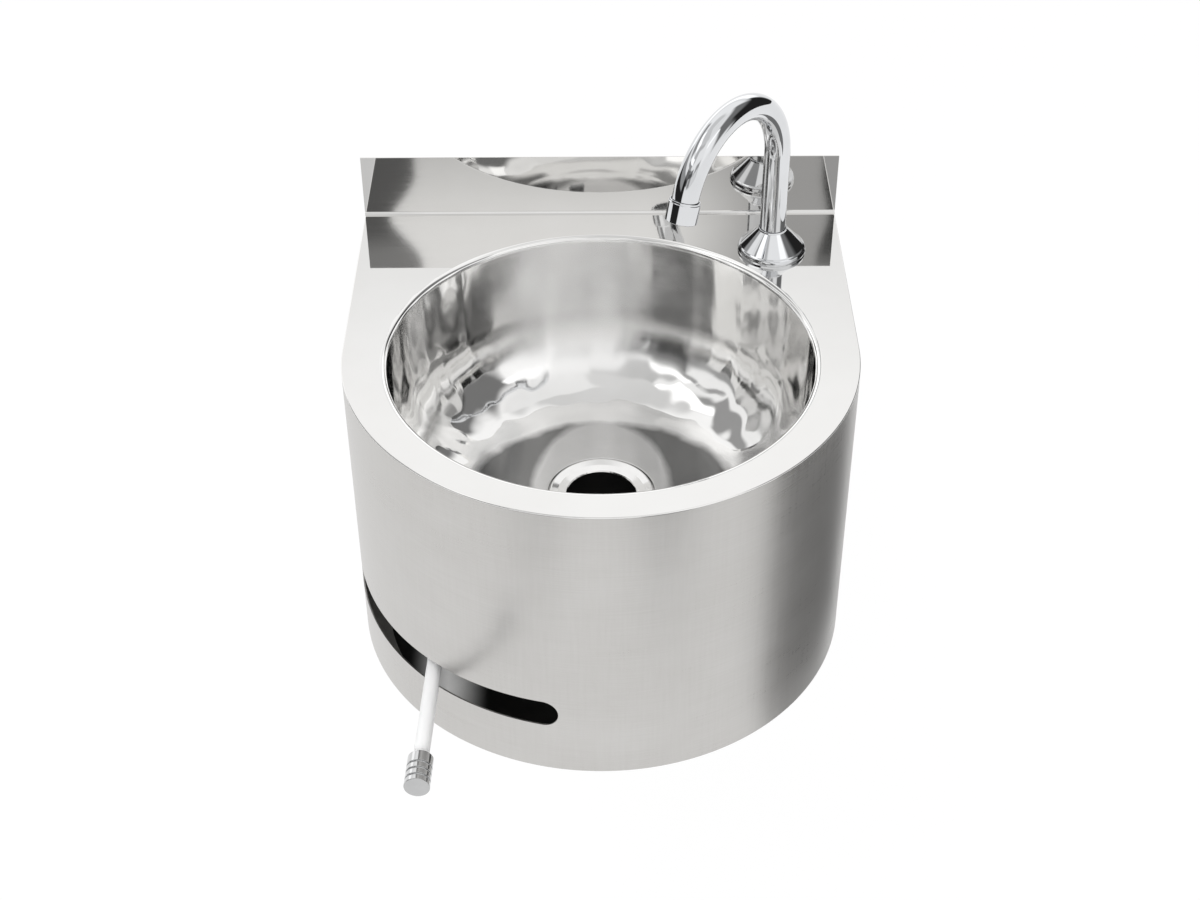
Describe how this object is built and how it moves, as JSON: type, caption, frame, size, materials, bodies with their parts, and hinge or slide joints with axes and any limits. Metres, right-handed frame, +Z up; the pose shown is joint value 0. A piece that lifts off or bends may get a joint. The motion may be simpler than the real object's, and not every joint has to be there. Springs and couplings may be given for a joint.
{
  "type": "wall-hung hand wash sink",
  "caption": "Wall-hung round-front stainless hand wash sink with a low splashback, a deep round bowl, a swivelling swan-neck spout and a side lever through a slot in the apron.",
  "frame": {"origin": "centre of the four wall fixing holes, on the wall plane behind the sink", "axes": "+X to the right seen from the front, +Y into the wall, +Z up"},
  "size_m": [0.4, 0.4664, 0.429],
  "materials": {
    "satin_steel": "satin brushed stainless",
    "bright_steel": "polished stainless",
    "zinc_steel": "galvanised",
    "chrome": "bright chrome",
    "brass": "machined",
    "rubber": "moulded",
    "ivory_plastic": "moulded",
    "white_plastic": "extruded",
    "grey_plastic": "moulded",
    "ceramic": "lapped",
    "red_fibre": "pressed",
    "black_steel": "blackened"
  },
  "bodies": {
    "basin": {"deck_splashback": "satin_steel", "bowl": "bright_steel", "apron": "satin_steel", "hanger_rail": "satin_steel", "wall_bracket": "zinc_steel", "lock_screws": "zinc_steel", "lock_nuts": "zinc_steel", "base_panel": "satin_steel", "panel_screws": "bright_steel", "waste_body": "bright_steel", "waste_top_seal": "rubber", "waste_lower_seal": "rubber", "waste_slip_washer": "ivory_plastic", "waste_backnut": "brass", "spout_shank": "brass", "spout_orings": "rubber", "spout_glide_ring": "ivory_plastic", "spout_cone": "chrome", "shank_gasket": "rubber", "clamp_gasket": "rubber", "clamp_washer": "zinc_steel", "spout_backnut": "brass", "outlet_pipe": "bright_steel", "outlet_adaptor": "brass", "valve_pipe_nut": "brass", "spout_pipe_nut": "brass", "pipe_olives": "brass", "valve_bracket": "zinc_steel", "valve_screws": "zinc_steel", "valve_body": "brass", "fixed_disc": "ceramic", "valve_bonnet": "brass", "centring_spring": "bright_steel", "hot_inlet_tail": "brass", "cold_inlet_tail": "brass", "inlet_seals": "red_fibre", "inlet_filters": "grey_plastic"},
    "spout": {"spout_tube": "chrome", "spout_keeper_screw": "black_steel", "aerator_collar": "chrome", "aerator_insert": "grey_plastic", "aerator_washer": "rubber"},
    "lever": {"moving_disc": "ceramic", "valve_spindle": "bright_steel", "spindle_orings": "rubber", "lever_hub": "chrome", "hub_screw": "zinc_steel", "lever_grub": "black_steel", "lever_core": "bright_steel", "lever_sleeve": "white_plastic", "lever_knob": "chrome"}
  },
  "joints": [
    {"name": "spout_swivel", "type": "hinge", "parent": "basin", "child": "spout", "pos_m": [0.142, -0.058, 0.099], "axis": [0, 0, 1], "range_deg": [-38, 38]},
    {"name": "lever_swing", "type": "hinge", "parent": "basin", "child": "lever", "pos_m": [-0.1195, -0.051, -0.1105], "axis": [0, 0, 1], "range_deg": [-14, 14], "stiffness_Nm_per_rad": 0.6}
  ]
}
